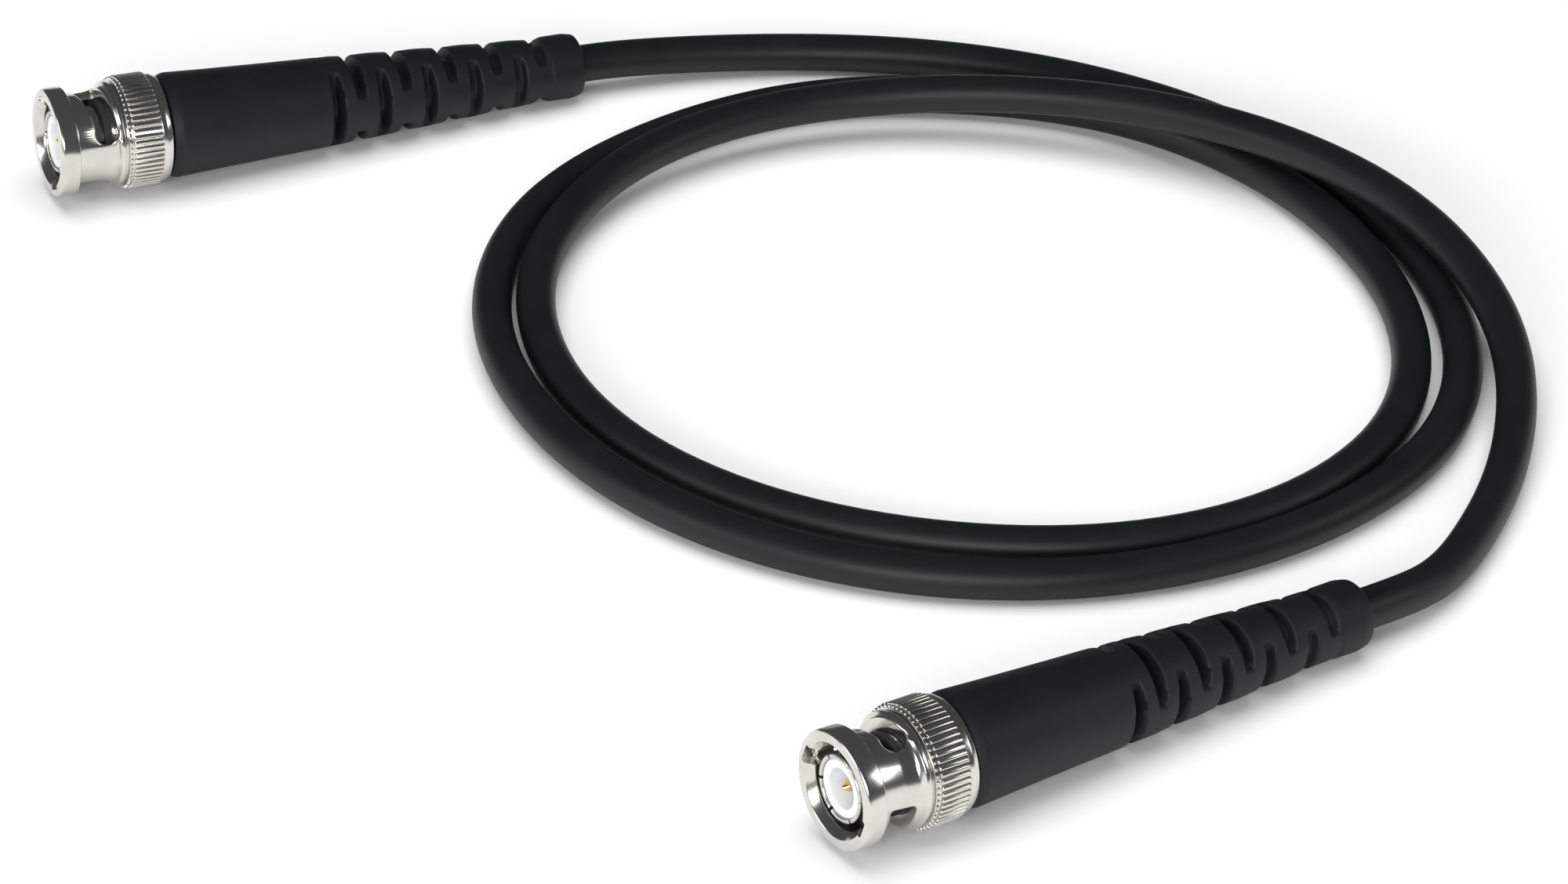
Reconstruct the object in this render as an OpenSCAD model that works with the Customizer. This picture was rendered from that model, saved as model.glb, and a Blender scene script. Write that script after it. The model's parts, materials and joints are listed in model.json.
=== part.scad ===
// Coaxial test lead with a bayonet plug and a long strain relief boot on each end.
// Every plug is drawn along its own axis: z = 0 at the nut's mating lip, z rises towards the cable.
// x points down and y points sideways once the plug lies on the table.

/* [Cable] */
// Outside diameter of the jacket
cable_d = 5.0; // [4.6:0.1:6.0]
// Diameter over the braid
braid_d = 3.6; // [3.3:0.1:3.9]
// Diameter of the dielectric
dielectric_d = 2.95; // [2.6:0.05:3.0]
// Diameter of the centre conductor
conductor_d = 0.9; // [0.7:0.05:1.1]

/* [Coupling nut] */
// Length of the nut
nut_l = 15.1; // [12.6:0.1:18.2]
// Diameter of the bore that the jack enters
nut_bore_d = 9.8; // [9.6:0.05:10.0]
// Wall of the neck round the bore
neck_wall = 1.05; // [0.9:0.05:1.3]
// Diameter of the front flange
flange_d = 14.2; // [13.4:0.1:15.0]
// Length of the front flange
flange_l = 2.5; // [2.0:0.1:3.0]
// Diameter over the knurl
knurl_d = 14.9; // [14.6:0.1:17.9]
// Length of the knurl
knurl_l = 4.7; // [3.9:0.1:4.9]
// Number of ribs in the knurl
knurl_ribs = 58; // [40:2:72]
// Width of the notch that lets the jack's lug in
slot_w = 2.2; // [1.8:0.1:2.4]
// Turn of the cam slot from its notch to its detent, in degrees
slot_turn = 90; // [65:1:90]
// How far the nut can be pushed forward against its spring
nut_travel = 0.8; // [0.4:0.1:0.9]

/* [Contacts] */
// Outside diameter of the slotted outer contact
contact_d = 8.1; // [7.9:0.05:8.2]
// Wall of the outer contact
contact_wall = 0.55; // [0.4:0.05:0.6]
// Number of slots in the outer contact
contact_slots = 6; // [4:1:8]
// Bore of the insulating cup
cup_d = 4.8; // [4.75:0.05:5.2]
// Diameter of the centre pin
pin_d = 1.34; // [1.3:0.01:1.4]

/* [Boot] */
// Length of the boot
boot_l = 58.2; // [48.5:0.1:69.8]
// Diameter of the boot next to the nut
boot_d = 13.9; // [13.0:0.1:14.4]
// Diameter of the boot where the smooth grip has settled to its taper
grip_d = 12.4; // [11.8:0.1:13.0]
// Diameter of the boot at its last relief ring
tail_d = 8.4; // [7.6:0.1:10.0]
// Diameter of the collar at the boot's tail
collar_d = 8.6; // [8.0:0.1:10.2]
// Width of each bend relief slot
relief_w = 1.9; // [1.2:0.1:2.1]
// Angle that each bend relief slot runs round the boot
relief_arc = 140; // [100:2:144]

/* [Hidden] */

nickel = [0.78, 0.76, 0.72];
gold = [0.85, 0.66, 0.28];
white = [0.93, 0.93, 0.92];
jacket_black = [0.08, 0.09, 0.09];
boot_black = [0.11, 0.12, 0.13];
copper = [0.72, 0.45, 0.30];

eps = 0.01;
round_fn = 96;
small_fn = 48;

// Clearances
turn_gap = 0.08;
face_gap = 0.06;
end_gap = 0.1;

// Coupling nut
bore_r = nut_bore_d / 2;
neck_r = bore_r + neck_wall;
flange_r = flange_d / 2;
knurl_r = knurl_d / 2;
rib_depth = 0.36;
rib_floor = 0.05;
rib_flat = 0.06;
band_l = 1.45;
band_r = knurl_r - 0.3;
knurl_end = nut_l - band_l;
knurl_start = knurl_end - knurl_l;
groove_l = 0.35;
ridge_l = 0.5;
ridge_end = knurl_start - groove_l;
ridge_r = knurl_r - 0.5;
flare_l = 2.3;
flare_start = ridge_end - ridge_l - flare_l + 0.6;
cavity_start = knurl_start - 0.35;
cavity_r = knurl_r - 1.2;
groove_r = neck_r - 0.25;
detent_z = flare_start + 0.1;
detent_d = 2.9;
slot_front = [flange_l + 1.3, detent_z - 1.15];
slot_rear = [detent_z + 0.6, detent_z + 1.3];
knurl_chamfer = 0.2;
core_r = knurl_r - rib_depth + rib_floor;

// Stack on the plug body, from its flange back to the ring that holds the nut
body_flange_r = cavity_r - turn_gap;
body_flange_start = cavity_start + end_gap;
body_flange_l = 1.2;
body_flange_end = body_flange_start + body_flange_l;
wave_t = 0.22;
wave_free_l = nut_travel + wave_t;
washer_l = 0.5;
washer_start = body_flange_end + wave_free_l + face_gap;
washer_end = washer_start + washer_l;
ring_l = 0.8;
ring_start = washer_end + face_gap;
ring_groove = 0.45;
ring_side_gap = 0.02;
ring_split = 2.2;
sleeve_r = cavity_r - 1.6;
sleeve_end = nut_l - 0.2;

// Contacts and insulators
contact_r = contact_d / 2;
contact_start = 0.8;
contact_inner_r = contact_r - contact_wall;
contact_slot_w = 0.35;
contact_slot_l = 5.2;
contact_turn = 22.5;
contact_end = body_flange_end;
seat_r = contact_r - 0.2;
nose_r = bore_r - turn_gap;
nose_start = cavity_start - 1.1;
gasket_l = 0.9;
gasket_start = nose_start - gasket_l;
contact_step = gasket_start - 0.1;
cup_start = 1.0;
cup_depth = 5.2;
cup_r = cup_d / 2;
insulator_gap = 0.03;
rear_insulator_l = 3.6;
rear_insulator_end = contact_end + rear_insulator_l;
rear_insulator_r = contact_inner_r - 0.25;
pin_r = pin_d / 2;
pin_tip = 1.2;
pin_taper_l = 1.0;
pin_point_r = 0.18;
pin_root_r = pin_r + 0.18;
shank_r = 1.0;
pot_l = 2.4;

// Rear of the plug body and the crimp
rear_end = sleeve_end + 2.6;
rear_r = 3.4;
stem_wall = 0.47;
stem_end = rear_end + 6.5;
stem_r = dielectric_d / 2 + stem_wall;
braid_wall = (braid_d - dielectric_d) / 2;
braid_flare_l = 1.2;
ferrule_wall = 0.6;
ferrule_end = stem_end + 5.0;
jacket_start = stem_end + 1.5;
jacket_r = cable_d / 2;

// Boot
boot_start = nut_l + 0.2;
plug_l = boot_start + boot_l;
boot_r = boot_d / 2;
grip_r = grip_d / 2;
tail_r = tail_d / 2;
collar_r = collar_d / 2;
shoulder_l = 1.3;
grip_end = boot_start + 15.5;
collar_l = 5.1;
collar_start = plug_l - collar_l;
collar_round = 1.2;
mould_r = grip_r - 0.9;
mould_end = boot_start + 19;
mould_taper_l = 4;
mould_taper = 1.2;
rings = 10;
first_ring = mould_end + 3.0;
ring_pitch = (collar_start - relief_w - first_ring) / (rings - 1);
relief_floor = 0.9;

// Places of the two plugs. A plug rests on the rear of its knurl and on the boot's collar.
knurl_rest = knurl_end - knurl_chamfer;
collar_rest = plug_l - collar_round;
tilt = atan((knurl_r - collar_r) / (collar_rest - knurl_rest));
front_z = knurl_r * cos(tilt) + knurl_rest * sin(tilt);
near = 0;
far = 1;
front = [[20, -85, front_z], [-81, 59, front_z]];
azimuth = [34, 22.5];
// Angle of the first notch of each nut and of the side slots of each boot, from straight down
notch_angle = [108, 150];
relief_angle = [290, 269];

// Points that steer the cable, from the far plug round to the near plug
route = [
    [14, 94, 2.6], [37, 92.5, 2.5], [60, 84, 2.5], [80.5, 68, 2.5], [95.5, 45, 2.5],
    [101, 17.5, 2.5], [95, -7, 2.5], [76, -26.5, 2.5], [48.5, -36.5, 2.5], [19.5, -32.5, 2.5],
    [-4.5, -17, 2.5], [-19, 6, 2.5], [-24, 30, 2.5], [-18.5, 54, 2.5], [-2.5, 71.5, 2.5],
    [17, 82, 2.5], [39, 82.5, 2.5], [61.5, 77, 2.5], [83, 57, 2.5], [94.5, 27, 2.5],
    [91.5, -2, 2.5], [73, -22.5, 2.5], [47, -29.5, 2.5], [17, -23.5, 2.5], [-6, -6, 2.5],
    [-17.5, 19, 2.5], [-17, 44, 3.5], [-3, 65, 5.2], [18, 75.5, 5.4], [42, 76, 6.6],
    [64, 69.5, 7.8], [83.5, 56.5, 8.5], [98, 38, 8.5], [106, 15, 5.6], [103.5, -7, 2.5],
    [98, -22.5, 2.5], [92.5, -34, 2.6]
];
straight_l = 7;
rings_per_point = 2;
cable_sides = 12;

// Direction from a plug's mating face towards its cable
function plug_axis(end) = [
    cos(azimuth[end]) * cos(tilt), sin(azimuth[end]) * cos(tilt), -sin(tilt)
];
function on_axis(end, z) = front[end] + z * plug_axis(end);

// The route with three points in line at each exit, so that the cable leaves each boot straight
function exit_points(end) = [
    for (step = [-1:1]) on_axis(end, plug_l + step * straight_l)
];
function reversed(list) = [for (i = [len(list) - 1:-1:0]) list[i]];
control = concat(exit_points(far), route, reversed(exit_points(near)));

// Uniform cubic B-spline through four neighbouring points, and its direction
function spline_at(p, t) =
    (p[0] * pow(1 - t, 3) + p[1] * (3 * pow(t, 3) - 6 * t * t + 4)
    + p[2] * (-3 * pow(t, 3) + 3 * t * t + 3 * t + 1) + p[3] * pow(t, 3)) / 6;
function spline_direction(p, t) =
    -p[0] * pow(1 - t, 2) + p[1] * (3 * t * t - 4 * t)
    + p[2] * (-3 * t * t + 2 * t + 1) + p[3] * t * t;
function four_from(i) = [for (k = [0:3]) control[i + k]];
spans = len(control) - 3;
ring_count = spans * rings_per_point + 1;
function span_of(n) = min(floor(n / rings_per_point), spans - 1);
function centre_of(n) = spline_at(four_from(span_of(n)), n / rings_per_point - span_of(n));
function direction_of(n) =
    spline_direction(four_from(span_of(n)), n / rings_per_point - span_of(n));
function unit(v) = v / norm(v);
function ring_points(n) =
    let (along = unit(direction_of(n)), side = unit(cross(along, [0, 0, 1])), up = cross(side, along))
    [for (k = [0:cable_sides - 1])
        let (a = 360 * k / cable_sides)
        centre_of(n) + jacket_r * (cos(a) * side + sin(a) * up)];

module at_plug(end) {
    translate(front[end]) rotate([0, 90 + tilt, azimuth[end]]) children();
}

module tube(start, stop, outer_r, inner_r, fn = round_fn) {
    translate([0, 0, start]) difference() {
        cylinder(h = stop - start, r = outer_r, $fn = fn);
        translate([0, 0, -eps]) cylinder(h = stop - start + 2 * eps, r = inner_r, $fn = fn);
    }
}

// Slanting slot through the neck, milled straight in from the middle of its turn
module slanting_slot() {
    start = -asin(slot_w / 2 / bore_r);
    middle = (start + slot_turn) / 2;
    half = neck_r * sin(slot_turn - middle);
    rotate([0, 0, middle]) rotate([90, 0, 90]) linear_extrude(height = flange_r + 1)
        polygon([
            [-half, slot_front[0]], [half, slot_front[1]], [half, slot_rear[1]],
            [-half + 0.9, slot_rear[0]], [-half + 0.25, slot_rear[0] - 0.3],
            [-half, slot_rear[0] - 1]
        ]);
}

// One cam slot: a notch inside the front lip, the slanting slot and the round detent
module cam_slot() {
    translate([0, -slot_w / 2, -eps]) cube([groove_r, slot_w, slot_front[0] + 1]);
    slanting_slot();
    rotate([0, 0, slot_turn]) translate([0, 0, detent_z]) rotate([0, 90, 0])
        cylinder(h = flange_r + 1, d = detent_d, $fn = small_fn);
}

module nut_outline() {
    polygon([
        [0, 0], [flange_r - 0.5, 0], [flange_r - 0.15, 0.15], [flange_r, 0.5],
        [flange_r, flange_l - 0.3], [flange_r - 0.3, flange_l],
        [neck_r + 0.3, flange_l + 0.1], [neck_r, flange_l + 0.4],
        [neck_r, flare_start], [neck_r + 0.12, flare_start + flare_l * 0.35],
        [neck_r + 0.45, flare_start + flare_l * 0.7], [ridge_r, ridge_end - ridge_l],
        [ridge_r, ridge_end], [ridge_r - 0.3, ridge_end + 0.05],
        [ridge_r - 0.3, knurl_start], [core_r, knurl_start + 0.1],
        [core_r, knurl_end - 0.05], [band_r, knurl_end],
        [band_r, nut_l - 0.5], [band_r - 0.5, nut_l], [0, nut_l]
    ]);
}

// Ribs of the knurl: a toothed disc as long as the knurl, with its tips turned flat and its ends chamfered
module knurl() {
    step = 180 / knurl_ribs;
    intersection() {
        translate([0, 0, knurl_start]) linear_extrude(height = knurl_l)
            polygon([for (i = [0:2 * knurl_ribs - 1])
                let (r = i % 2 == 0 ? knurl_r + rib_flat : knurl_r - rib_depth)
                [r * cos(i * step), r * sin(i * step)]]);
        rotate_extrude($fn = round_fn) polygon([
            [0, knurl_start + 0.05], [core_r - 0.1, knurl_start + 0.05], [knurl_r, knurl_start + 0.4],
            [knurl_r, knurl_rest], [knurl_r - knurl_chamfer, knurl_end], [0, knurl_end]
        ]);
    }
}

module coupling_nut(end) {
    color(nickel) at_plug(end) difference() {
        union() {
            rotate_extrude($fn = round_fn) nut_outline();
            knurl();
        }
        translate([0, 0, -eps]) cylinder(h = nut_l, r = bore_r, $fn = round_fn);
        translate([0, 0, cavity_start]) cylinder(h = nut_l, r = cavity_r, $fn = round_fn);
        translate([0, 0, ring_start]) cylinder(h = ring_l, r = cavity_r + ring_groove, $fn = round_fn);
        for (side = [0, 180]) rotate([0, 0, notch_angle[end] + side]) cam_slot();
    }
}

module retaining_ring(end) {
    outer = cavity_r + ring_groove - ring_side_gap;
    color(nickel) at_plug(end) difference() {
        tube(ring_start + ring_side_gap, ring_start + ring_l - ring_side_gap, outer, sleeve_r + 0.3);
        translate([0, -ring_split / 2, ring_start - eps]) cube([outer + 1, ring_split, ring_l + 2 * eps]);
    }
}

module thrust_washer(end) {
    color(nickel) at_plug(end)
        tube(washer_start, washer_end, cavity_r - turn_gap, sleeve_r + 0.05);
}

// Ring of spring strip with three waves
module wave_washer(end) {
    steps = 48;
    waves = 3;
    inner = sleeve_r + 0.15;
    outer = cavity_r - 0.2;
    rise = (wave_free_l - wave_t) / 2;
    middle = body_flange_end + 0.02 + wave_t / 2 + rise;
    points = [for (i = [0:steps - 1])
        let (a = 360 * i / steps, z = middle + rise * sin(waves * a))
        each [for (q = [[inner, -1], [outer, -1], [outer, 1], [inner, 1]])
            [q[0] * cos(a), q[0] * sin(a), z + q[1] * wave_t / 2]]];
    faces = [for (i = [0:steps - 1]) for (k = [0:3])
        let (a = 4 * i, b = 4 * ((i + 1) % steps), n = (k + 1) % 4)
        each [[a + k, a + n, b + n], [a + k, b + n, b + k]]];
    color(nickel) at_plug(end) polyhedron(points = points, faces = faces, convexity = 6);
}

module gasket(end) {
    color(boot_black) at_plug(end) tube(gasket_start, nose_start, bore_r - 0.1, seat_r);
}

module plug_body(end) {
    color(nickel) at_plug(end) difference() {
        rotate_extrude($fn = round_fn) polygon([
            [0, nose_start], [nose_r, nose_start], [nose_r, body_flange_start],
            [body_flange_r, body_flange_start], [body_flange_r, body_flange_end],
            [sleeve_r, body_flange_end], [sleeve_r, sleeve_end],
            [rear_r, sleeve_end], [rear_r, rear_end], [stem_r, rear_end],
            [stem_r, stem_end], [0, stem_end]
        ]);
        translate([0, 0, nose_start - eps])
            cylinder(h = contact_end - nose_start + eps, r = seat_r, $fn = round_fn);
        translate([0, 0, nose_start])
            cylinder(h = rear_insulator_end - nose_start, r = rear_insulator_r, $fn = round_fn);
        translate([0, 0, nose_start])
            cylinder(h = stem_end, d = dielectric_d, $fn = small_fn);
    }
}

module outer_contact(end) {
    color(nickel) at_plug(end) difference() {
        rotate_extrude($fn = round_fn) polygon([
            [contact_inner_r, contact_start], [contact_r - 0.15, contact_start],
            [contact_r, contact_start + 0.15], [contact_r, contact_step], [seat_r, contact_step],
            [seat_r, contact_end], [contact_inner_r, contact_end]
        ]);
        for (i = [0:contact_slots - 1]) rotate([0, 0, contact_turn + 360 * i / contact_slots])
            translate([contact_inner_r - 0.5, -contact_slot_w / 2, contact_start - eps])
                cube([contact_wall + 1, contact_slot_w, contact_slot_l]);
    }
}

module front_insulator(end) {
    outer = contact_inner_r - insulator_gap;
    color(white) at_plug(end) difference() {
        rotate_extrude($fn = round_fn) polygon([
            [0, cup_start], [outer - 0.2, cup_start], [outer, cup_start + 0.2],
            [outer, contact_end], [0, contact_end]
        ]);
        translate([0, 0, cup_start - eps]) cylinder(h = cup_depth + eps, r = cup_r, $fn = round_fn);
        translate([0, 0, cup_start]) cylinder(h = contact_end, r = pin_root_r, $fn = small_fn);
    }
}

module rear_insulator(end) {
    color(white) at_plug(end) tube(contact_end, rear_insulator_end, rear_insulator_r, shank_r);
}

module contact_pin(end) {
    color(gold) at_plug(end) difference() {
        rotate_extrude($fn = small_fn) polygon([
            [0, pin_tip], [pin_point_r, pin_tip], [pin_r, pin_tip + pin_taper_l],
            [pin_r, cup_start + cup_depth], [pin_root_r, cup_start + cup_depth],
            [pin_root_r, contact_end], [shank_r, contact_end], [shank_r, rear_insulator_end],
            [0, rear_insulator_end]
        ]);
        translate([0, 0, rear_insulator_end - pot_l])
            cylinder(h = pot_l + 1, d = conductor_d, $fn = small_fn);
    }
}

module crimp_ferrule(end) {
    over_braid = stem_r + braid_wall;
    color(nickel) at_plug(end) rotate_extrude($fn = round_fn) polygon([
        [over_braid, rear_end], [over_braid + ferrule_wall, rear_end],
        [over_braid + ferrule_wall, stem_end], [jacket_r + ferrule_wall, jacket_start],
        [jacket_r + ferrule_wall, ferrule_end], [jacket_r, ferrule_end],
        [jacket_r, jacket_start], [over_braid, stem_end]
    ]);
}

module inner_mould(end) {
    over_braid = stem_r + braid_wall;
    color(jacket_black) at_plug(end) rotate_extrude($fn = round_fn) polygon([
        [rear_r, sleeve_end], [mould_r, sleeve_end + 0.3], [mould_r, mould_end - mould_taper_l],
        [mould_r - mould_taper, mould_end], [jacket_r, mould_end], [jacket_r, ferrule_end],
        [jacket_r + ferrule_wall, ferrule_end], [jacket_r + ferrule_wall, jacket_start],
        [over_braid + ferrule_wall, stem_end], [over_braid + ferrule_wall, rear_end],
        [rear_r, rear_end]
    ]);
}

// Pair of slots on opposite sides of the boot
module relief_pair(z) {
    for (side = [0, 180]) rotate([0, 0, side - relief_arc / 2]) translate([0, 0, z])
        rotate_extrude(angle = relief_arc, $fn = round_fn)
            translate([jacket_r + relief_floor, 0]) square([boot_r, relief_w]);
}

module boot(end) {
    color(boot_black) at_plug(end) difference() {
        rotate_extrude($fn = round_fn) polygon([
            [rear_r, boot_start], [boot_r - 0.6, boot_start],
            [boot_r - 0.15, boot_start + 0.4 * shoulder_l], [boot_r, boot_start + shoulder_l],
            [grip_r, grip_end], [tail_r, collar_start], [collar_r, collar_start + 0.8],
            [collar_r, collar_rest], [collar_r - 0.35, plug_l - 0.4], [collar_r - 1, plug_l],
            [0, plug_l], [0, boot_start]
        ]);
        rotate_extrude($fn = round_fn) polygon([
            [0, boot_start - eps], [mould_r, boot_start - eps], [mould_r, mould_end - mould_taper_l],
            [mould_r - mould_taper, mould_end], [0, mould_end]
        ]);
        translate([0, 0, boot_start]) cylinder(h = plug_l, r = jacket_r, $fn = small_fn);
        for (i = [0:rings - 1]) rotate([0, 0, relief_angle[end] + 90 * (i % 2)])
            relief_pair(first_ring + i * ring_pitch);
    }
}

module jacket_end(end) {
    color(jacket_black) at_plug(end)
        tube(jacket_start, plug_l, jacket_r, braid_d / 2, small_fn);
}

// The braid spreads over the stem and is squeezed by the ferrule
module braid_end(end) {
    inner = dielectric_d / 2;
    color(copper) at_plug(end) rotate_extrude($fn = small_fn) polygon([
        [stem_r, rear_end], [stem_r + braid_wall, rear_end], [stem_r + braid_wall, stem_end],
        [braid_d / 2, stem_end + braid_flare_l], [braid_d / 2, plug_l], [inner, plug_l],
        [inner, stem_end + 0.05], [stem_r, stem_end]
    ]);
}

module dielectric_end(end) {
    color(white) at_plug(end)
        tube(rear_insulator_end, plug_l, dielectric_d / 2, conductor_d / 2, small_fn);
}

module conductor_end(end) {
    color(copper) at_plug(end) translate([0, 0, rear_insulator_end - pot_l])
        cylinder(h = plug_l - rear_insulator_end + pot_l, d = conductor_d, $fn = small_fn);
}

module cable() {
    points = [for (n = [0:ring_count - 1]) each ring_points(n)];
    last = (ring_count - 1) * cable_sides;
    walls = [for (n = [0:ring_count - 2]) for (k = [0:cable_sides - 1])
        let (a = n * cable_sides, b = a + cable_sides, m = (k + 1) % cable_sides)
        each [[a + k, a + m, b + m], [a + k, b + m, b + k]]];
    first_cap = [for (k = [cable_sides - 1:-1:0]) k];
    last_cap = [for (k = [0:cable_sides - 1]) last + k];
    color(jacket_black)
        polyhedron(points = points, faces = concat([first_cap], walls, [last_cap]), convexity = 10);
}

coupling_nut(near);  // near_coupling_nut
retaining_ring(near);  // near_retaining_ring
thrust_washer(near);  // near_thrust_washer
wave_washer(near);  // near_wave_washer
gasket(near);  // near_gasket
plug_body(near);  // near_plug_body
outer_contact(near);  // near_outer_contact
front_insulator(near);  // near_front_insulator
rear_insulator(near);  // near_rear_insulator
contact_pin(near);  // near_contact_pin
crimp_ferrule(near);  // near_crimp_ferrule
inner_mould(near);  // near_inner_mould
boot(near);  // near_boot
jacket_end(near);  // near_jacket_end
braid_end(near);  // near_braid_end
dielectric_end(near);  // near_dielectric_end
conductor_end(near);  // near_conductor_end
coupling_nut(far);  // far_coupling_nut
retaining_ring(far);  // far_retaining_ring
thrust_washer(far);  // far_thrust_washer
wave_washer(far);  // far_wave_washer
gasket(far);  // far_gasket
plug_body(far);  // far_plug_body
outer_contact(far);  // far_outer_contact
front_insulator(far);  // far_front_insulator
rear_insulator(far);  // far_rear_insulator
contact_pin(far);  // far_contact_pin
crimp_ferrule(far);  // far_crimp_ferrule
inner_mould(far);  // far_inner_mould
boot(far);  // far_boot
jacket_end(far);  // far_jacket_end
braid_end(far);  // far_braid_end
dielectric_end(far);  // far_dielectric_end
conductor_end(far);  // far_conductor_end
cable();
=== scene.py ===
"""Looks of a coaxial test lead: a bayonet plug and a moulded boot on each end of a coiled cable."""
import json
import math

import bpy
from mathutils import Matrix, Vector


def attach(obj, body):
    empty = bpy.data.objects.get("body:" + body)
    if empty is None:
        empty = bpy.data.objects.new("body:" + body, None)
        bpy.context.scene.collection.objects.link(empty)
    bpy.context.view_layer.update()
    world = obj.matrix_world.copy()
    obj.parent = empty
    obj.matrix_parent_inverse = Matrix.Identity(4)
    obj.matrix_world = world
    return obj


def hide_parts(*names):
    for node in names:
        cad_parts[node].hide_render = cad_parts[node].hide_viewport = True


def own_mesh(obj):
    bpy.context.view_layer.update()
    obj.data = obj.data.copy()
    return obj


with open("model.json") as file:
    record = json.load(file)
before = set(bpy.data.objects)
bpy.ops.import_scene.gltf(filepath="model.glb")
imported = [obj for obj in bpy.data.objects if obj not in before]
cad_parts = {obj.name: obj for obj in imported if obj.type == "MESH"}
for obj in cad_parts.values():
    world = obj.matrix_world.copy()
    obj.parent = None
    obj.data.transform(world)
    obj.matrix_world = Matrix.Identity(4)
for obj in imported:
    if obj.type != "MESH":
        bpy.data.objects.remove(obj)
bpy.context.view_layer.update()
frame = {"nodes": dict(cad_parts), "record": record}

MM = 0.001
ENDS = ("near", "far")
record = frame["record"]
joints = {joint["name"]: joint for joint in record["behaviour"]["joints"]}

# Sizes are in millimetres, and places along a plug's axis are from its nut's lip.
# Angles round the axis are in degrees, from straight down and round by the back.
TURN_POINT = 12.0
PLUG_L = 73.5
JACKET_R = 2.5

# The cable's route over the table, in metres, from the far plug round to the near plug.
ROUTE = [
    (0.014, 0.094, 0.0026), (0.037, 0.0925, 0.0025), (0.060, 0.084, 0.0025),
    (0.0805, 0.068, 0.0025), (0.0955, 0.045, 0.0025), (0.101, 0.0175, 0.0025),
    (0.095, -0.007, 0.0025), (0.076, -0.0265, 0.0025), (0.0485, -0.0365, 0.0025),
    (0.0195, -0.0325, 0.0025), (-0.0045, -0.017, 0.0025), (-0.019, 0.006, 0.0025),
    (-0.024, 0.030, 0.0025), (-0.0185, 0.054, 0.0025), (-0.0025, 0.0715, 0.0025),
    (0.017, 0.082, 0.0025), (0.039, 0.0825, 0.0025), (0.0615, 0.077, 0.0025),
    (0.083, 0.057, 0.0025), (0.0945, 0.027, 0.0025), (0.0915, -0.002, 0.0025),
    (0.073, -0.0225, 0.0025), (0.047, -0.0295, 0.0025), (0.017, -0.0235, 0.0025),
    (-0.006, -0.006, 0.0025), (-0.0175, 0.019, 0.0025), (-0.017, 0.044, 0.0035),
    (-0.003, 0.065, 0.0052), (0.018, 0.0755, 0.0054), (0.042, 0.076, 0.0066),
    (0.064, 0.0695, 0.0078), (0.0835, 0.0565, 0.0085), (0.098, 0.038, 0.0085),
    (0.106, 0.015, 0.0056), (0.1035, -0.007, 0.0025), (0.098, -0.0225, 0.0025),
    (0.0925, -0.034, 0.0026),
]
STRAIGHT_EXIT = 7
RINGS_PER_SPAN = 10
CABLE_SIDES = 28
PATTERN_PER_METRE = 100


# Camera

camera_data = bpy.data.cameras.new("camera")
camera_data.sensor_width = 36
camera_data.lens = 143.1
camera_data.clip_start = 0.01
camera_data.clip_end = 20
camera = bpy.data.objects.new("camera", camera_data)
camera.location = (0.0146, -0.64396, 0.40996)
camera.rotation_euler = (math.radians(57.5), 0, 0)
bpy.context.collection.objects.link(camera)
bpy.context.scene.camera = camera


# Places of the plugs, from the joints that turn their nuts

def plug_place(end):
    """Turns a plug's own frame, x down, y back and z along the axis from the lip, into the row's."""
    turn = joints[end + "_nut_turn"]
    axis = Vector(turn["axis"]).normalized()
    back = Vector((-axis.y, axis.x, 0)).normalized()
    down = back.cross(axis)
    lip = Vector(turn["pos_m"]) - axis * TURN_POINT * MM
    place = Matrix((down, back, axis)).transposed().to_4x4()
    place.translation = lip
    return place


PLACE = {end: plug_place(end) for end in ENDS}


def on_axis(end, along):
    return PLACE[end] @ Vector((0, 0, along * MM))


# Shader maths

class Field:
    """A value that changes over a surface. Arithmetic on it adds Math nodes."""

    def __init__(self, finish, socket):
        self.finish = finish
        self.socket = socket

    def maths(self, operation, *values):
        return self.finish.node("ShaderNodeMath", {"operation": operation}, *values)

    def __add__(self, other):
        return self.maths("ADD", self, other)

    def __sub__(self, other):
        return self.maths("SUBTRACT", self, other)

    def __mul__(self, other):
        return self.maths("MULTIPLY", self, other)

    def __radd__(self, other):
        return self.maths("ADD", other, self)

    def __rsub__(self, other):
        return self.maths("SUBTRACT", other, self)

    def __rmul__(self, other):
        return self.maths("MULTIPLY", other, self)

    def root(self):
        return self.maths("SQRT", self, 0.0)

    def step(self, low, high):
        """0 below low, 1 above high and a smooth rise between them."""
        return self.finish.node(
            "ShaderNodeMapRange", {"interpolation_type": "SMOOTHSTEP"}, self, low, high, 0.0, 1.0
        )


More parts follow.
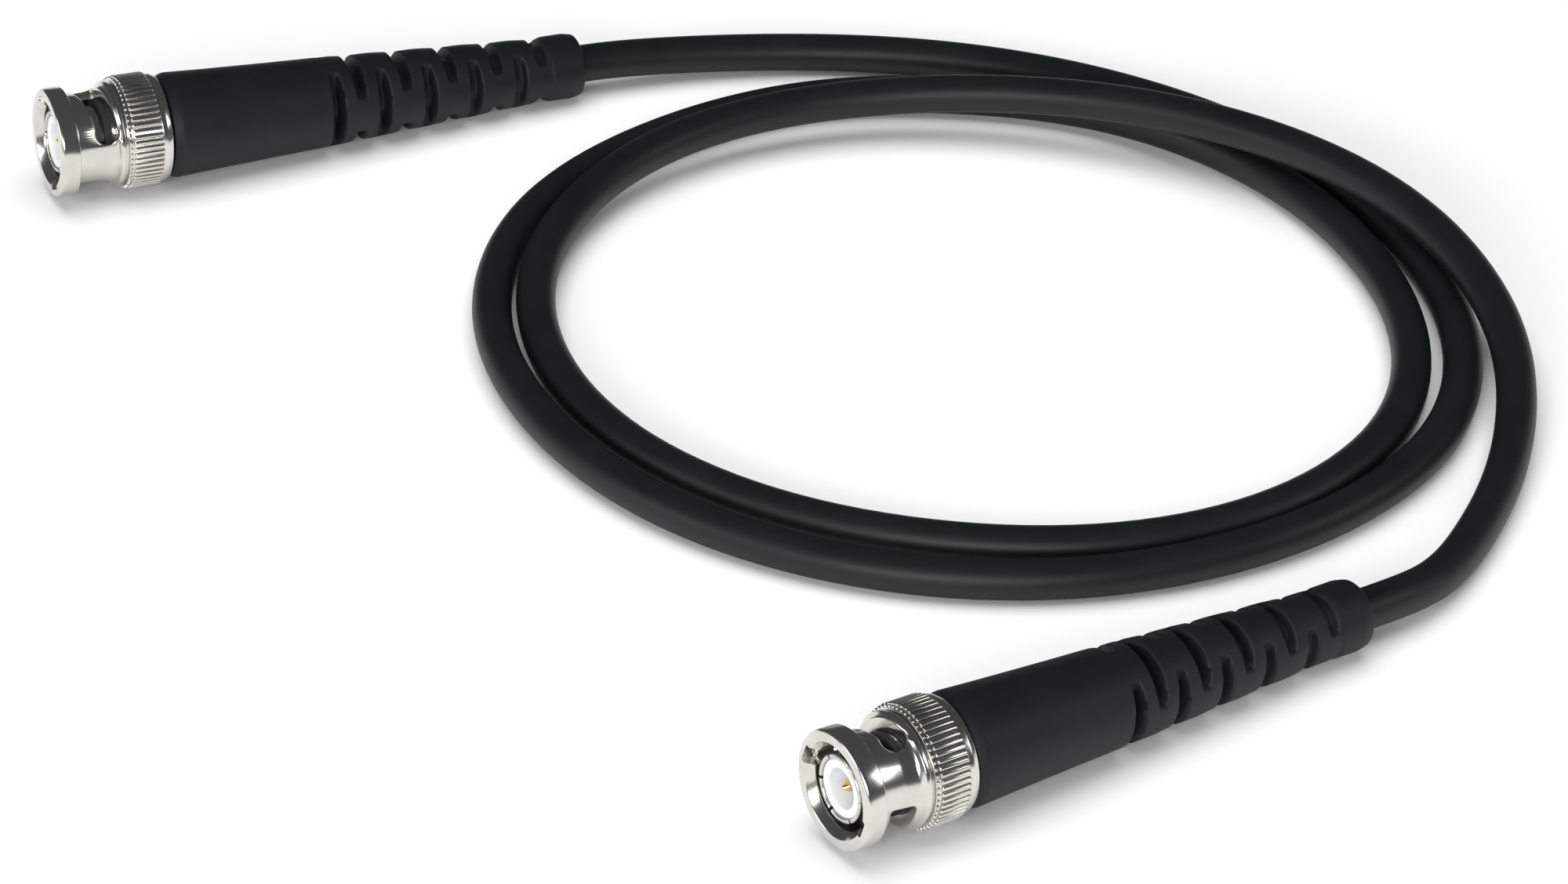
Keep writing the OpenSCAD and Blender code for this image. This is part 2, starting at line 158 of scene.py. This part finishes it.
class Finish:
    """One procedural material round a Principled shader."""

    def __init__(self, name, end=None, **settings):
        self.material = bpy.data.materials.new(name)
        self.material.use_nodes = True
        self.tree = self.material.node_tree
        self.shader = self.tree.nodes["Principled BSDF"]
        for socket, value in settings.items():
            self.shader.inputs[socket.replace("_", " ")].default_value = value
        where = self.node("ShaderNodeTexCoord", {}, out="Object")
        if end is None:
            self.point = where
        else:
            turn = PLACE[end].to_euler()
            self.point = self.node(
                "ShaderNodeMapping", {"vector_type": "TEXTURE"},
                where, tuple(PLACE[end].translation), tuple(turn), (1, 1, 1),
            )

    def node(self, kind, settings, *values, out=0, **named):
        made = self.tree.nodes.new(kind)
        for key, value in settings.items():
            setattr(made, key, value)
        pairs = list(zip(made.inputs, values))
        pairs += [(made.inputs[key.replace("_", " ")], value) for key, value in named.items()]
        for socket, value in pairs:
            if isinstance(value, Field):
                self.tree.links.new(value.socket, socket)
            elif value is not None:
                socket.default_value = value
        return Field(self, made.outputs[out])

    def noise(self, scale, detail=3.0, rough=0.5, point=None, stretch=None):
        where = point or self.point
        if stretch:
            where = self.node("ShaderNodeVectorMath", {"operation": "MULTIPLY"}, where, stretch)
        return self.node(
            "ShaderNodeTexNoise", {"noise_dimensions": "3D"},
            Vector=where, Scale=scale, Detail=detail, Roughness=rough, out="Fac",
        )

    def grain(self, scale):
        return self.node(
            "ShaderNodeTexVoronoi", {"feature": "F1"}, Vector=self.point, Scale=scale, out="Distance"
        )

    def blend(self, amount, first, second):
        mixed = self.tree.nodes.new("ShaderNodeMix")
        mixed.data_type = "RGBA"
        self.tree.links.new(amount.socket, mixed.inputs["Factor"])
        for socket, colour in ((mixed.inputs[6], first), (mixed.inputs[7], second)):
            if isinstance(colour, Field):
                self.tree.links.new(colour.socket, socket)
            else:
                socket.default_value = (*colour, 1)
        return Field(self, mixed.outputs[2])

    def feed(self, name, value):
        self.tree.links.new(value.socket, self.shader.inputs[name])

    def bump(self, height, depth_mm, strength):
        """height runs from 0 to 1 and stands for depth_mm of real relief."""
        raised = self.node(
            "ShaderNodeBump", {}, Strength=strength, Distance=depth_mm * MM, Height=height, out="Normal"
        )
        self.feed("Normal", raised)

    def parts(self, vector):
        """A vector's three numbers."""
        return [self.node("ShaderNodeSeparateXYZ", {}, vector, out=k) for k in range(3)]

    def lathe_point(self):
        """Distance from the plug's axis and along it, where turning marks are the same all round."""
        x, y, along = self.parts(self.point)
        return self.node("ShaderNodeCombineXYZ", {}, (x * x + y * y).root(), along, 0.0)


# Finishes

def nickel_plate(end, name, bright, dull):
    """Plated brass with turning marks round the axis and faint handling smears."""
    finish = Finish(f"{name}_{end}", end, Metallic=1.0)
    turning = finish.noise(9000, 2.0, 0.6, point=finish.lathe_point())
    smear = finish.noise(260, 4.0, 0.6)
    speck = finish.noise(2400, 2.0, 0.5)
    colour = finish.blend(smear.step(0.35, 0.75), bright, dull)
    finish.feed("Base Color", colour)
    finish.feed("Roughness", 0.09 + smear * 0.12 + turning * 0.07)
    finish.bump(turning * 0.7 + speck * 0.3, 0.004, 0.35)
    return finish.material


def spring_steel(end):
    finish = Finish(f"spring_steel_{end}", end, Metallic=1.0)
    along = finish.noise(3000, 3.0, 0.6, stretch=(0.2, 0.2, 1))
    finish.feed("Base Color", finish.blend(along, (0.42, 0.42, 0.41), (0.56, 0.56, 0.55)))
    finish.feed("Roughness", 0.25 + along * 0.2)
    finish.bump(along, 0.004, 0.4)
    return finish.material


def gold_plate(end):
    finish = Finish(f"gold_plate_{end}", end, Metallic=1.0)
    fine = finish.noise(3500, 3.0, 0.6)
    finish.feed("Base Color", finish.blend(fine, (0.80, 0.56, 0.20), (0.92, 0.72, 0.36)))
    finish.feed("Roughness", 0.14 + fine * 0.14)
    finish.bump(fine, 0.003, 0.4)
    return finish.material


def white_insulator(end):
    """Waxy white plastic with faint lathe rings and a little light inside it."""
    finish = Finish(
        f"white_insulator_{end}", end,
        Subsurface_Weight=0.25, Subsurface_Radius=(1, 1, 1), Subsurface_Scale=0.0012,
        Specular_IOR_Level=0.4,
    )
    turning = finish.noise(5000, 2.0, 0.5, point=finish.lathe_point())
    cloud = finish.noise(400, 3.0, 0.5)
    finish.feed("Base Color", finish.blend(cloud, (0.80, 0.81, 0.85), (0.88, 0.89, 0.92)))
    finish.feed("Roughness", 0.30 + turning * 0.15)
    finish.bump(turning, 0.006, 0.4)
    return finish.material


def boot_vinyl(end):
    """Moulded matt vinyl: uneven tone, a fine grain and a few dusty blooms."""
    finish = Finish(f"boot_vinyl_{end}", end, Specular_IOR_Level=0.34)
    cloud = finish.noise(120, 5.0, 0.6)
    bloom = finish.noise(900, 4.0, 0.65)
    grain = finish.noise(7000, 3.0, 0.6)
    tone = finish.blend(cloud.step(0.3, 0.7), (0.0042, 0.0056, 0.0062), (0.0064, 0.0082, 0.0090))
    dust = bloom.step(0.62, 0.80) * 0.35
    finish.feed("Base Color", finish.blend(dust, tone, (0.013, 0.016, 0.017)))
    finish.feed("Roughness", 0.46 + cloud * 0.12 + grain * 0.10)
    finish.bump(grain * 0.6 + bloom * 0.4, 0.02, 0.30)
    return finish.material


def cable_jacket(name="cable_jacket", end=None):
    """Extruded satin vinyl with faint lengthwise die lines and scuffs.

    With no end given, the lines follow the cable's own map; otherwise they follow that plug's axis.
    """
    finish = Finish(name, end, Specular_IOR_Level=0.36)
    cloud = finish.noise(90, 5.0, 0.6)
    scuff = finish.noise(700, 4.0, 0.7)
    fine = finish.noise(6000, 3.0, 0.6)
    tone = finish.blend(cloud.step(0.3, 0.7), (0.0042, 0.0056, 0.0058), (0.0062, 0.0080, 0.0083))
    if end is None:
        turn, along, _ = finish.parts(finish.node("ShaderNodeUVMap", {"uv_map": "around"}, out="UV"))
        angle = turn * (2 * math.pi)
        ring = finish.node(
            "ShaderNodeCombineXYZ", {},
            angle.maths("COSINE", angle), angle.maths("SINE", angle), along * 0.4,
        )
        lines = finish.noise(11.0, 3.0, 0.6, point=ring)
    else:
        lines = finish.noise(2500, 3.0, 0.6, stretch=(1, 1, 0.03))
    worn = scuff.step(0.60, 0.82) * 0.30
    finish.feed("Base Color", finish.blend(worn, tone, (0.012, 0.015, 0.015)))
    finish.feed("Roughness", 0.36 + cloud * 0.10 + lines * 0.10 + fine * 0.06)
    finish.bump(lines * 0.5 + fine * 0.5, 0.012, 0.35)
    return finish.material


def gasket_rubber(end):
    finish = Finish(f"gasket_rubber_{end}", end)
    fine = finish.noise(3000, 4.0, 0.6)
    finish.feed("Base Color", finish.blend(fine, (0.010, 0.010, 0.010), (0.028, 0.028, 0.027)))
    finish.feed("Roughness", 0.55 + fine * 0.2)
    finish.bump(fine, 0.01, 0.5)
    return finish.material


def drawn_metal(name, end, low, high):
    finish = Finish(f"{name}_{end}", end, Metallic=1.0)
    weave = finish.grain(2600)
    finish.feed("Base Color", finish.blend(weave, low, high))
    finish.feed("Roughness", 0.30 + weave * 0.25)
    finish.bump(weave, 0.05, 0.6)
    return finish.material


def milky_plastic(end):
    finish = Finish(f"dielectric_{end}", end, Specular_IOR_Level=0.5)
    cloud = finish.noise(900, 3.0, 0.5)
    finish.feed("Base Color", finish.blend(cloud, (0.72, 0.72, 0.70), (0.80, 0.80, 0.78)))
    finish.feed("Roughness", 0.35 + cloud * 0.15)
    return finish.material


def finishes_for(end):
    return {
        "nickel": nickel_plate(end, "nickel", (0.69, 0.68, 0.635), (0.60, 0.59, 0.55)),
        "nickel_body": nickel_plate(end, "nickel_body", (0.66, 0.65, 0.61), (0.52, 0.51, 0.48)),
        "spring_steel": spring_steel(end),
        "gold": gold_plate(end),
        "white_insulator": white_insulator(end),
        "gasket_rubber": gasket_rubber(end),
        "boot_vinyl": boot_vinyl(end),
        "cable_jacket": cable_jacket("cable_jacket_" + end, end),
        "tinned_copper": drawn_metal("tinned_copper", end, (0.52, 0.48, 0.42), (0.78, 0.74, 0.68)),
        "copper": drawn_metal("copper", end, (0.62, 0.30, 0.16), (0.80, 0.46, 0.28)),
        "dielectric": milky_plastic(end),
    }


FINISH = {end: finishes_for(end) for end in ENDS}
slot_of = {part["node"]: part["material_slot"] for part in record["subparts"]}


# Modelling helpers

def activate(piece):
    bpy.ops.object.select_all(action="DESELECT")
    piece.select_set(True)
    bpy.context.view_layer.objects.active = piece


def softened(corners, steps=4):
    """Outline from (radius, along, rounding) corners, each rounding drawn as a short curve."""
    outline = []
    for k, (radius, along, rounding) in enumerate(corners):
        here = Vector((radius, along))
        before = Vector(corners[k - 1][:2]) - here
        after = Vector(corners[(k + 1) % len(corners)][:2]) - here
        if not rounding:
            outline.append(here)
            continue
        reach = rounding / math.tan(before.angle(after) / 2)
        reach = min(reach, before.length * 0.48, after.length * 0.48)
        start = here + before.normalized() * reach
        stop = here + after.normalized() * reach
        for step in range(steps + 1):
            t = step / steps
            outline.append(start * (1 - t) ** 2 + here * (2 * t * (1 - t)) + stop * t ** 2)
    return outline


def turned(name, corners, columns=96, closed=True, steps=4):
    """A piece spun round its axis from an outline; a closed outline makes a shell."""
    outline = softened(corners, steps) if closed else [Vector(c[:2]) for c in corners]
    count = len(outline)
    edges = [(k, (k + 1) % count) for k in range(count if closed else count - 1)]
    mesh = bpy.data.meshes.new(name)
    mesh.from_pydata([(point.x, 0, point.y) for point in outline], edges, [])
    piece = bpy.data.objects.new(name, mesh)
    bpy.context.collection.objects.link(piece)
    activate(piece)
    bpy.ops.object.mode_set(mode="EDIT")
    bpy.ops.mesh.select_all(action="SELECT")
    bpy.ops.mesh.spin(steps=columns, angle=2 * math.pi, center=(0, 0, 0), axis=(0, 0, 1))
    bpy.ops.mesh.select_all(action="SELECT")
    bpy.ops.mesh.remove_doubles(threshold=0.0005)
    bpy.ops.mesh.normals_make_consistent(inside=False)
    bpy.ops.object.mode_set(mode="OBJECT")
    return piece


def turn_about_axis(piece, degrees):
    piece.data.transform(Matrix.Rotation(math.radians(degrees), 4, "Z"))


def ease(value):
    """A smooth rise from 0 to 1 as value goes from 0 to 1."""
    value = min(max(value, 0), 1)
    return value * value * (3 - 2 * value)


def cut(piece, cutters):
    for cutter in cutters:
        carve = piece.modifiers.new("cut", "BOOLEAN")
        carve.operation = "DIFFERENCE"
        carve.solver = "EXACT"
        carve.object = cutter
        activate(piece)
        bpy.ops.object.modifier_apply(modifier=carve.name)
        bpy.data.objects.remove(cutter)


def soften_edges(piece, width, angle, segments):
    bevel = piece.modifiers.new("soft_edges", "BEVEL")
    bevel.width = width
    bevel.segments = segments
    bevel.limit_method = "ANGLE"
    bevel.angle_limit = math.radians(angle)
    activate(piece)
    bpy.ops.object.modifier_apply(modifier=bevel.name)


def block(name, low, high):
    """A box between two corners, in millimetres."""
    bpy.ops.object.select_all(action="DESELECT")
    bpy.ops.mesh.primitive_cube_add(size=1)
    made = bpy.context.object
    made.name = name
    size = Vector(high) - Vector(low)
    middle = (Vector(high) + Vector(low)) / 2
    made.data.transform(Matrix.Translation(middle) @ Matrix.Diagonal((*size, 1)))
    return made


def shell_of(name, points, faces):
    """A closed shell from its points and faces, with its normals turned outwards."""
    mesh = bpy.data.meshes.new(name)
    mesh.from_pydata(points, [], faces)
    made = bpy.data.objects.new(name, mesh)
    bpy.context.collection.objects.link(made)
    activate(made)
    bpy.ops.object.mode_set(mode="EDIT")
    bpy.ops.mesh.select_all(action="SELECT")
    bpy.ops.mesh.quads_convert_to_tris()
    bpy.ops.mesh.normals_make_consistent(inside=False)
    bpy.ops.object.mode_set(mode="OBJECT")
    return made


def join_to(piece, others):
    activate(piece)
    for other in others:
        other.select_set(True)
    bpy.ops.object.join()


def finished(piece, end, part, body, angle=40):
    """Places a piece modelled in the plug's frame, and gives it its body, slot and finish.

    Edges sharper than angle, in degrees, stay sharp.
    """
    node = f"{end}_{part}"
    piece.name = node + "_shape"
    piece.data.transform(PLACE[end] @ Matrix.Scale(MM, 4))
    slot = slot_of[node]
    piece.data.materials.clear()
    piece.data.materials.append(FINISH[end][slot])
    activate(piece)
    bpy.ops.object.shade_smooth_by_angle(angle=math.radians(angle))
    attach(piece, body)
    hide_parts(node)
    return piece


# Coupling nut

NECK_R = 5.95
BORE_R = 4.9
FLANGE_R = 7.1
KNURL_R = 7.45
CORE_R = 7.12
CAVITY_R = 6.25
KNURL_END = 13.65
RIBS = 58
NOTCH_ANGLE = {"near": 108, "far": 150}
SLOT_TURN = 90
SLOT_FRONT = (3.85, 5.3)
SLOT_REAR = (7.1, 7.85)
SLOT_CORNER_R = 0.5
DETENT_AT = 6.5
DETENT_R = 1.45
# Arc lengths round the neck, from the notch, where the slot starts and where its detent is centred
SLOT_START = -1.12
SLOT_STOP = NECK_R * math.radians(SLOT_TURN)


def nut_skin(along):
    """The nut's outer radius beside the cam slots, where its neck flares to the ridge."""
    return NECK_R + 1.0 * ease((along - 5.4) / 3.6)


def slot_edges(around, spread):
    """Where the slot's front and rear edges lie, at an arc length round the neck."""
    share = (around - SLOT_START) / (SLOT_STOP - SLOT_START)
    front = SLOT_FRONT[0] + (SLOT_FRONT[1] - SLOT_FRONT[0]) * share - spread
    rear = SLOT_REAR[0] + (SLOT_REAR[1] - SLOT_REAR[0]) * share + spread
    reach = DETENT_R + spread
    narrowest = 0.06
    across = math.sqrt(max(reach ** 2 - (around - SLOT_STOP) ** 2, narrowest ** 2))
    if around > SLOT_STOP:
        return DETENT_AT - across, DETENT_AT + across
    if SLOT_STOP - around < reach:
        front, rear = min(front, DETENT_AT - across), max(rear, DETENT_AT + across)
    corner = SLOT_CORNER_R + spread
    inset = max(corner - (around - SLOT_START + spread), 0)
    inset = corner - math.sqrt(corner ** 2 - inset ** 2)
    return front + inset, rear - inset


def slot_cutter(notch):
    """The cam slot's window, from the notch round to the detent, with a rolled lip at the skin.

    Each ring has its depth under the skin, or None inside the bore, and how far it spreads there.
    """
    rings = ((None, 0), (0.34, 0), (0.20, 0.03), (0.08, 0.13), (0, 0.30), (-0.3, 0.75))
    inside_r = 3.6
    stations = 48
    points = []
    for step in range(stations + 1):
        share = (1 - math.cos(math.pi * step / stations)) / 2
        fronts, rears = [], []
        for depth, spread in rings:
            start = SLOT_START - spread
            stop = SLOT_STOP + DETENT_R + spread
            around = start + (stop - start) * share
            turn = around / NECK_R
            for edge, side in zip(slot_edges(around, spread), (fronts, rears)):
                radius = inside_r if depth is None else nut_skin(edge) - depth
                side.append((radius * math.cos(turn), radius * math.sin(turn), edge))
        points += fronts + rears[::-1]
    count = 2 * len(rings)
    faces = [tuple(range(count)), tuple(range(stations * count, (stations + 1) * count))[::-1]]
    for step in range(stations):
        for k in range(count):
            a, b = step * count + k, step * count + (k + 1) % count
            faces.append((a, b, b + count, a + count))
    window = shell_of("window", points, faces)
    turn_about_axis(window, notch)
    return window


def nut_cutters(end):
    """On each side, the lug's groove, its wider mouth in the flange and the slanting window."""
    made = []
    for side in (0, 180):
        notch = NOTCH_ANGLE[end] + side
        for groove in (block("groove", (3.5, -1.1, -1), (5.7, 1.1, 4.6)),
                       block("mouth", (3.5, -1.25, -1), (6.15, 1.25, 1.7))):
            soften_edges(groove, 0.25, 30, 3)
            turn_about_axis(groove, notch)
            made.append(groove)
        made.append(slot_cutter(notch))
    return made


def knurl_ribs():
    """Rounded bars round the nut, each with a small bead in front of it."""
    made = []
    root_r = CORE_R - 0.3
    bar = block("rib", (root_r, -0.29, 9.62), (KNURL_R + 0.02, 0.29, KNURL_END - 0.02))
    bead = block("bead", (root_r, -0.21, 9.08), (KNURL_R - 0.10, 0.21, 9.46))
    for shape, softness in ((bar, 0.19), (bead, 0.17)):
        soften_edges(shape, softness, 30, 3)
        for k in range(RIBS):
            copy = bpy.data.objects.new(shape.name, shape.data.copy())
            bpy.context.collection.objects.link(copy)
            turn_about_axis(copy, 360 * k / RIBS)
            made.append(copy)
        bpy.data.objects.remove(shape)
    return made


def coupling_nut(end):
    corners = [
        (5.75, 0, 0.3), (FLANGE_R, 0, 0.55), (FLANGE_R, 2.5, 0.22), (NECK_R, 2.62, 0.25),
        (NECK_R, 5.9, 2.5), (6.25, 7.6, 2.0), (6.95, 8.05, 0.2), (6.95, 8.62, 0.16), (6.62, 8.7, 0.04),
        (6.62, 8.98, 0.04), (CORE_R - 0.05, 9.05, 0.1), (CORE_R - 0.05, 9.50, 0), (CORE_R, 9.60, 0),
        (CORE_R, KNURL_END, 0), (7.16, 13.72, 0.08), (7.18, 14.3, 0.5), (6.95, 15.0, 0.35),
        (6.5, 15.1, 0.1), (CAVITY_R, 15.1, 0.08), (CAVITY_R, 12.38, 0), (6.65, 12.38, 0),
        (6.65, 11.54, 0), (CAVITY_R, 11.54, 0), (CAVITY_R, 8.6, 0.05), (BORE_R, 8.6, 0.1),
        (BORE_R, 1.0, 0.6),
    ]
    nut = turned("nut", corners, columns=128)
    cut(nut, nut_cutters(end))
    soften_edges(nut, 0.10, 50, 2)
    join_to(nut, knurl_ribs())
    return finished(nut, end, "coupling_nut", end + "_nut", 38)


# Contacts, insulator and wave washer

CONTACT_SLOTS = 6
CONTACT_TURN = 22.5


def outer_contact(end):
    """Thin slotted tube with a rolled lip."""
    tube = turned("contact", [
        (3.5, 0.8, 0.2), (4.05, 0.8, 0.22), (4.05, 6.5, 0.05), (3.85, 6.5, 0.05), (3.85, 9.9, 0),
        (3.5, 9.9, 0),
    ], columns=96)
    slots = []
    for k in range(CONTACT_SLOTS):
        slit = block("slit", (3, -0.19, 0.4), (4.6, 0.19, 6.0))
        turn_about_axis(slit, 360 / CONTACT_SLOTS * k + CONTACT_TURN)
        slots.append(slit)
    cut(tube, slots)
    soften_edges(tube, 0.06, 50, 2)
    return finished(tube, end, "outer_contact", "lead")


def front_insulator(end):
    """Cup round the pin, with soft edges at its rim and floor."""
    cup = turned("cup", [
        (2.42, 1.0, 0.25), (3.47, 1.0, 0.22), (3.47, 9.9, 0), (0.85, 9.9, 0), (0.85, 6.2, 0.04),
        (2.4, 6.2, 0.5),
    ], columns=96, steps=5)
    return finished(cup, end, "front_insulator", "lead", 60)


def contact_pin(end):
    """Pin with a blunt cone at its tip and the solder pot at its rear."""
    tip = [(0, 1.2, 0), (0.10, 1.21, 0), (0.20, 1.27, 0), (0.30, 1.42, 0), (0.52, 1.85, 0),
           (0.63, 2.08, 0), (0.67, 2.3, 0), (0.67, 6.18, 0), (0.85, 6.2, 0), (0.85, 9.9, 0),
           (1.0, 9.9, 0), (1.0, 13.5, 0), (0.45, 13.5, 0), (0.45, 11.1, 0), (0, 11.1, 0)]
    pin = turned("pin", tip, columns=48, closed=False)
    return finished(pin, end, "contact_pin", "lead", 35)


def wave_washer(end):
    """Sprung ring with three waves, made in its free shape. The real washer flattens on the body's
    flange as the nut is pushed; this mesh keeps its free shape.
    """
    rest, free_l, thick = 9.92, 1.02, 0.22
    inner_r, outer_r = 4.8, 6.05
    waves, steps = 3, 96
    points, faces = [], []
    for k in range(steps):
        turn = 2 * math.pi * k / steps
        middle = rest + free_l / 2 + (free_l - thick) / 2 * math.sin(waves * turn)
        for radius, face in ((inner_r, -1), (outer_r, -1), (outer_r, 1), (inner_r, 1)):
            points.append((radius * math.cos(turn), radius * math.sin(turn), middle + face * thick / 2))
        for side in range(4):
            a, b = 4 * k + side, 4 * k + (side + 1) % 4
            c, d = (b + 4) % (4 * steps), (a + 4) % (4 * steps)
            faces.append((a, b, c, d))
    ring = finished(shell_of("wave", points, faces), end, "wave_washer", "lead", 30)
    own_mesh(ring)


# Boot

BOOT_START = 15.3
RELIEF_START = 36.6
RELIEF_R = 5.98
COLLAR_START = 68.4
TAIL_R = 4.18
MOUTH_R = 2.54
FIRST_RING = 38.25
RINGS = 10
RING_PITCH = 3.24
RELIEF_ANGLE = {"near": 290, "far": 269}
RELIEF_HALF_W = 0.72
RELIEF_HALF_ARC = 70
RELIEF_FLOOR_R = 3.1
RELIEF_PLANE = 2.35
RELIEF_CORNER = 0.45
RELIEF_EDGE = 0.24
SWELL = 0.09


def relief_cut(along, degrees, radius, roll):
    """The radius left by the nearest slot, whose floor is flat across the pull of its mould core."""
    left = radius
    for ring in range(RINGS):
        across = abs(along - FIRST_RING - ring * RING_PITCH)
        if across > RING_PITCH / 2:
            continue
        off = abs((degrees - roll - 90 * (ring % 2) + 90) % 180 - 90)
        if off > RELIEF_HALF_ARC + 8:
            continue
        floor_r = max(RELIEF_FLOOR_R, RELIEF_PLANE / math.cos(math.radians(off)))
        if floor_r >= radius:
            continue
        width = RELIEF_HALF_W * (1 - 0.35 * (off / RELIEF_HALF_ARC) ** 2)
        past_end = math.radians(off - RELIEF_HALF_ARC) * radius + RELIEF_CORNER
        past_side = across - width + RELIEF_CORNER
        outside = math.hypot(max(past_end, 0), max(past_side, 0)) - RELIEF_CORNER
        outside += min(max(past_end, past_side), 0)
        left = min(left, radius - (radius - floor_r) * ease(0.5 - outside / (2 * RELIEF_EDGE)))
    return left


def relief_swell(along, degrees, roll):
    """Skin that stands proud between the slots and sinks a little beside them."""
    turn = math.radians(degrees - roll)
    phase = math.pi * (along - FIRST_RING) / RING_PITCH
    fade = ease((along - FIRST_RING + 1.5) / 3) * ease((COLLAR_START + 0.4 - along) / 1.5)
    first = math.cos(turn) ** 2
    return SWELL * fade * (1 - 2 * first) * math.cos(phase)


def boot(end):
    """Moulded sleeve: a smooth grip, the slotted bend relief and a collar round the cable."""
    rows = 200
    grip = [(5.35, BOOT_START, 0.05), (6.45, BOOT_START, 0.45), (6.92, BOOT_START + 1.2, 1.6),
            (6.62, 22, 30), (6.2, 31, 12), (RELIEF_R, RELIEF_START, 0)]
    step = (COLLAR_START - RELIEF_START) / rows
    taper = [(RELIEF_R - (RELIEF_R - TAIL_R) * k / rows, RELIEF_START + step * k, 0)
             for k in range(1, rows)]
    tail = [(TAIL_R, COLLAR_START, 0), (4.34, COLLAR_START + 0.5, 0.4), (4.36, 71.8, 1.0),
            (4.1, 73.2, 0.6), (3.5, PLUG_L, 0.4), (2.75, PLUG_L, 0.2), (MOUTH_R, 73.2, 0.1)]
    inside = [(MOUTH_R, 40, 0), (4.1, 34.3, 0), (5.3, 30.3, 0)]
    skin = turned("boot", grip + taper + tail + inside, columns=160)
    roll = RELIEF_ANGLE[end]
    for vertex in skin.data.vertices:
        x, y, along = vertex.co
        radius = math.hypot(x, y)
        inner_wall = radius < 3.4
        if inner_wall or not RELIEF_START < along < COLLAR_START + 0.6:
            continue
        degrees = math.degrees(math.atan2(y, x))
        full = radius + relief_swell(along, degrees, roll)
        new = relief_cut(along, degrees, full, roll)
        vertex.co.x *= new / radius
        vertex.co.y *= new / radius
    return finished(skin, end, "boot", "lead", 75)


# Cable

def exit_points(end):
    return [on_axis(end, PLUG_L + step * STRAIGHT_EXIT) for step in (-1, 0, 1)]


def spline_points(control, per_span):
    """Uniform cubic B-spline over the control points."""
    path = []
    for i in range(len(control) - 3):
        a, b, c, d = control[i:i + 4]
        for k in range(per_span + (i == len(control) - 4)):
            t = k / per_span
            path.append((a * (1 - t) ** 3 + b * (3 * t ** 3 - 6 * t * t + 4)
                         + c * (-3 * t ** 3 + 3 * t * t + 3 * t + 1) + d * t ** 3) / 6)
    return path


def cable():
    """A tube along the route, with a map of how far round and how far along each corner is."""
    control = exit_points("far") + [Vector(point) for point in ROUTE] + exit_points("near")[::-1]
    path = spline_points(control, RINGS_PER_SPAN)
    sides = CABLE_SIDES
    points = []
    around = []
    lengths = [0.0]
    for k in range(1, len(path)):
        lengths.append(lengths[-1] + (path[k] - path[k - 1]).length)
    for k, centre in enumerate(path):
        ahead = (path[min(k + 1, len(path) - 1)] - path[max(k - 1, 0)]).normalized()
        side = ahead.cross(Vector((0, 0, 1))).normalized()
        up = side.cross(ahead)
        for s in range(sides):
            turn = 2 * math.pi * s / sides
            points.append(centre + (side * math.cos(turn) + up * math.sin(turn)) * JACKET_R * MM)
    faces = []
    for k in range(len(path) - 1):
        for s in range(sides):
            a, b = k * sides + s, k * sides + (s + 1) % sides
            faces.append((a, b, b + sides, a + sides))
            around += [(s / sides, lengths[k]), ((s + 1) / sides, lengths[k]),
                       ((s + 1) / sides, lengths[k + 1]), (s / sides, lengths[k + 1])]
    caps = [tuple(range(sides))[::-1], tuple(range(len(points) - sides, len(points)))]
    around += [(0, 0)] * (2 * sides)
    mesh = bpy.data.meshes.new("cable_shape")
    mesh.from_pydata(points, [], faces + caps)
    layer = mesh.uv_layers.new(name="around")
    for corner, (u, v) in zip(layer.data, around):
        corner.uv = (u, v * PATTERN_PER_METRE)
    piece = bpy.data.objects.new("cable_shape", mesh)
    bpy.context.collection.objects.link(piece)
    activate(piece)
    bpy.ops.object.mode_set(mode="EDIT")
    bpy.ops.mesh.select_all(action="SELECT")
    bpy.ops.mesh.normals_make_consistent(inside=False)
    bpy.ops.object.mode_set(mode="OBJECT")
    bpy.ops.object.shade_smooth_by_angle(angle=math.radians(50))
    mesh.materials.append(cable_jacket())
    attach(piece, "lead")
    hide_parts("cable")


# Studio

def floor():
    bpy.ops.object.select_all(action="DESELECT")
    bpy.ops.mesh.primitive_plane_add(size=8)
    made = bpy.context.object
    made.name = "floor"
    finish = Finish("floor", Base_Color=(0.88, 0.88, 0.88, 1), Specular_IOR_Level=0.1)
    mottle = finish.noise(6, 2.0, 0.5)
    finish.feed("Roughness", 0.85 + mottle * 0.1)
    made.data.materials.append(finish.material)


def softbox(name, place, size, watts, glossy=True):
    """A rectangular light aimed at the middle of the lead; not glossy hides it from reflections."""
    data = bpy.data.lights.new(name, "AREA")
    data.shape = "RECTANGLE"
    data.size, data.size_y = size
    data.energy = watts
    made = bpy.data.objects.new(name, data)
    made.location = place
    aim = Vector((0.01, 0, 0)) - Vector(place)
    made.rotation_euler = aim.to_track_quat("-Z", "Y").to_euler()
    made.visible_camera = False
    made.visible_glossy = glossy
    bpy.context.collection.objects.link(made)


def studio():
    floor()
    world = bpy.data.worlds.new("studio")
    world.use_nodes = True
    world.node_tree.nodes["Background"].inputs["Color"].default_value = (0.078, 0.080, 0.082, 1)
    bpy.context.scene.world = world
    softbox("front", (-0.25, -1.15, 0.50), (0.9, 0.32), 10)
    softbox("left", (-1.0, -0.35, 0.35), (0.5, 0.35), 2.5)
    softbox("right", (1.0, -0.2, 0.5), (0.4, 0.4), 1.5)
    softbox("overhead", (0.0, 0.1, 1.6), (1.8, 1.8), 30, glossy=False)
    bpy.context.scene.view_settings.view_transform = "Standard"


# Build

for name, node in frame["nodes"].items():
    end = "far" if name.startswith("far") else "near"
    for slot in node.material_slots:
        slot.material = FINISH[end][slot_of[name]]

cable()
for end in ENDS:
    boot(end)
    coupling_nut(end)
    outer_contact(end)
    front_insulator(end)
    contact_pin(end)
    wave_washer(end)
studio()
